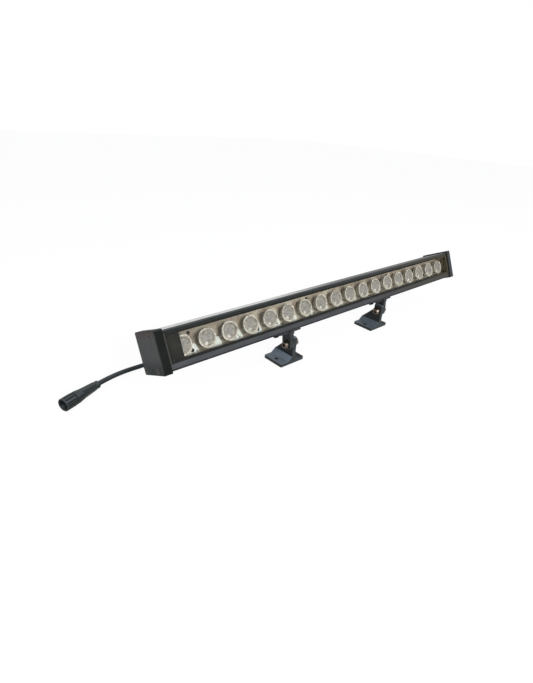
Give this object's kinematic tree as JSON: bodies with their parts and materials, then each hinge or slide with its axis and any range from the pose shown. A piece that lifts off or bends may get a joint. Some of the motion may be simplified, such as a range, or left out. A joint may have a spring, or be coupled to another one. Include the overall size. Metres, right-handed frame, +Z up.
{
  "type": "outdoor wall washer light",
  "caption": "Linear outdoor wall washer light: a tilting aluminium bar with a row of lenses behind glass, on two sliding feet, with a short cable and a round connector.",
  "frame": {"origin": "on the ground below the middle of the lamp, its feet and its brackets, without the cord", "axes": "+X along the bar away from the cable end, +Y towards the back, +Z up"},
  "size_m": [0.5667, 0.0909, 0.0771],
  "materials": {
    "dark_paint": "satin powder coat",
    "cap_paint": "satin powder coat",
    "bracket_paint": "satin powder coat",
    "glass": "clear tempered glass",
    "lens": "clear moulded plastic",
    "blank": "matte",
    "rubber": "matte",
    "steel": "brushed stainless",
    "dark_steel": "blackened steel",
    "light_board": "matte solder mask",
    "pad": "soft pad",
    "chip": "phosphor",
    "driver_board": "solder mask",
    "driver_parts": "potted parts",
    "wire": "insulated wire",
    "plastic": "moulded, fine grain",
    "cable": "matte cable sheath",
    "brass": "turned"
  },
  "bodies": {
    "lamp": {"housing": "dark_paint", "front_glass": "glass", "glass_seals": "rubber", "window_blank": "blank", "end_cap_left": "cap_paint", "end_cap_right": "cap_paint", "end_gasket_left": "rubber", "end_gasket_right": "rubber", "cap_screws_left": "dark_steel", "cap_screws_right": "dark_steel", "light_board": "light_board", "thermal_pad": "pad", "light_chips": "chip", "board_screws": "steel", "lens_01": "lens", "lens_02": "lens", "lens_03": "lens", "lens_04": "lens", "lens_05": "lens", "lens_06": "lens", "lens_07": "lens", "lens_08": "lens", "lens_09": "lens", "lens_10": "lens", "lens_11": "lens", "lens_12": "lens", "lens_13": "lens", "lens_14": "lens", "lens_15": "lens", "lens_16": "lens", "lens_17": "lens", "lens_18": "lens", "driver_board": "driver_board", "driver_parts": "driver_parts", "link_wires": "wire", "supply_wires": "wire", "gland_body": "plastic", "gland_locknut": "plastic", "gland_nut": "plastic", "gland_seal": "rubber", "power_cable": "cable", "connector_body": "plastic", "connector_insert": "plastic", "connector_pins": "brass"},
    "bracket_left": {"upper_bracket_left": "bracket_paint", "slot_plate_left": "steel", "slot_screws_left": "steel", "pivot_bolt_left": "steel", "pivot_nut_left": "steel", "washers_left": "dark_steel"},
    "foot_left": {"foot_left": "bracket_paint"},
    "bracket_right": {"upper_bracket_right": "bracket_paint", "slot_plate_right": "steel", "slot_screws_right": "steel", "pivot_bolt_right": "steel", "pivot_nut_right": "steel", "washers_right": "dark_steel"},
    "foot_right": {"foot_right": "bracket_paint"},
    "coupling_nut": {"connector_nut": "plastic"}
  },
  "joints": [
    {"name": "slide_left", "type": "slide", "parent": "lamp", "child": "bracket_left", "axis": [1, 0, 0], "range_m": [-0.13, 0.06]},
    {"name": "tilt_left", "type": "hinge", "parent": "bracket_left", "child": "foot_left", "pos_m": [-0.0944, -0.01766, 0.0225], "axis": [1, 0, 0], "range_deg": [-125, 40]},
    {"name": "slide_right", "type": "slide", "parent": "lamp", "child": "bracket_right", "axis": [1, 0, 0], "range_m": [-0.06, 0.15]},
    {"name": "tilt_right", "type": "hinge", "parent": "bracket_right", "child": "foot_right", "pos_m": [0.0754, -0.01766, 0.0225], "axis": [1, 0, 0], "range_deg": [-125, 40]},
    {"name": "coupling_turn", "type": "hinge", "parent": "lamp", "child": "coupling_nut", "pos_m": [-0.30543, 0.03672, 0.0062], "axis": [-0.9272, -0.3746, 0], "continuous": true}
  ]
}
